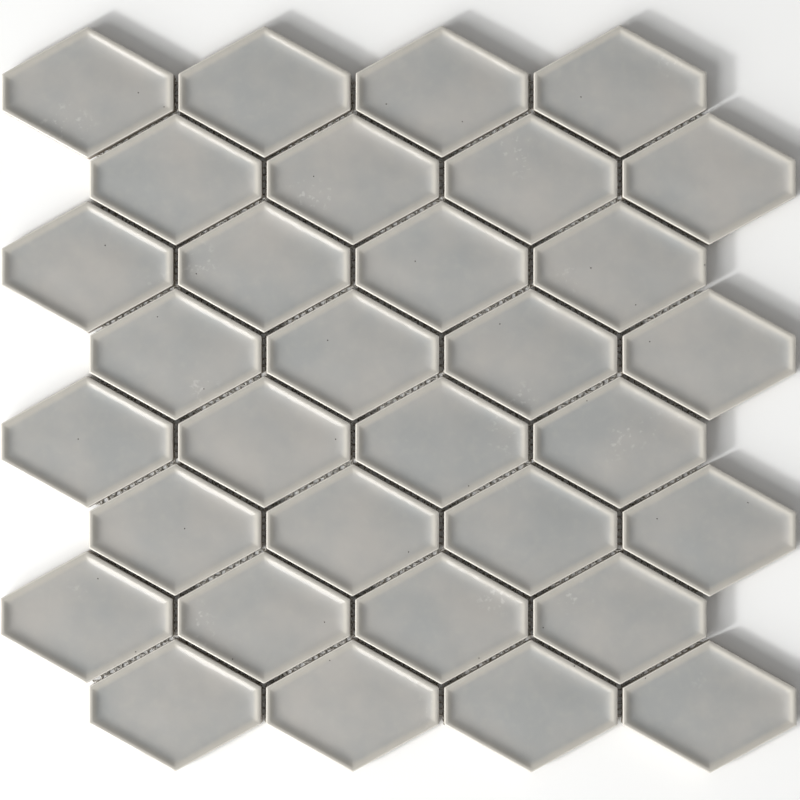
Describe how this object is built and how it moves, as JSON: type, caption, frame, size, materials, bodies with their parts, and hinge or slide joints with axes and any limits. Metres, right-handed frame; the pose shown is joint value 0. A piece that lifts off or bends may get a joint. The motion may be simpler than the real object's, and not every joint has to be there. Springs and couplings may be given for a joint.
{
  "type": "mosaic tile sheet",
  "caption": "Mesh-backed mosaic sheet of long hexagon porcelain tiles in staggered rows, each with a raised rim and a dished glossy field, for covering walls and floors.",
  "frame": {"origin": "centre of the sheet's outline, on the plane of the mesh's underside", "axes": "+X along the rows of tiles, +Y towards the first row, +Z out of the glazed face"},
  "size_m": [0.3002, 0.2818, 0.0065],
  "materials": {
    "glazed_porcelain": "glossy light grey glaze",
    "mesh_yarn": "matt off-white yarn"
  },
  "bodies": {
    "root": {"tile_r1_c1": "glazed_porcelain", "tile_r1_c2": "glazed_porcelain", "tile_r1_c3": "glazed_porcelain", "tile_r1_c4": "glazed_porcelain", "tile_r2_c1": "glazed_porcelain", "tile_r2_c2": "glazed_porcelain", "tile_r2_c3": "glazed_porcelain", "tile_r2_c4": "glazed_porcelain", "tile_r3_c1": "glazed_porcelain", "tile_r3_c2": "glazed_porcelain", "tile_r3_c3": "glazed_porcelain", "tile_r3_c4": "glazed_porcelain", "tile_r4_c1": "glazed_porcelain", "tile_r4_c2": "glazed_porcelain", "tile_r4_c3": "glazed_porcelain", "tile_r4_c4": "glazed_porcelain", "tile_r5_c1": "glazed_porcelain", "tile_r5_c2": "glazed_porcelain", "tile_r5_c3": "glazed_porcelain", "tile_r5_c4": "glazed_porcelain", "tile_r6_c1": "glazed_porcelain", "tile_r6_c2": "glazed_porcelain", "tile_r6_c3": "glazed_porcelain", "tile_r6_c4": "glazed_porcelain", "tile_r7_c1": "glazed_porcelain", "tile_r7_c2": "glazed_porcelain", "tile_r7_c3": "glazed_porcelain", "tile_r7_c4": "glazed_porcelain", "tile_r8_c1": "glazed_porcelain", "tile_r8_c2": "glazed_porcelain", "tile_r8_c3": "glazed_porcelain", "tile_r8_c4": "glazed_porcelain", "mesh_cross_yarns": "mesh_yarn", "mesh_long_yarns": "mesh_yarn"}
  },
  "joints": []
}
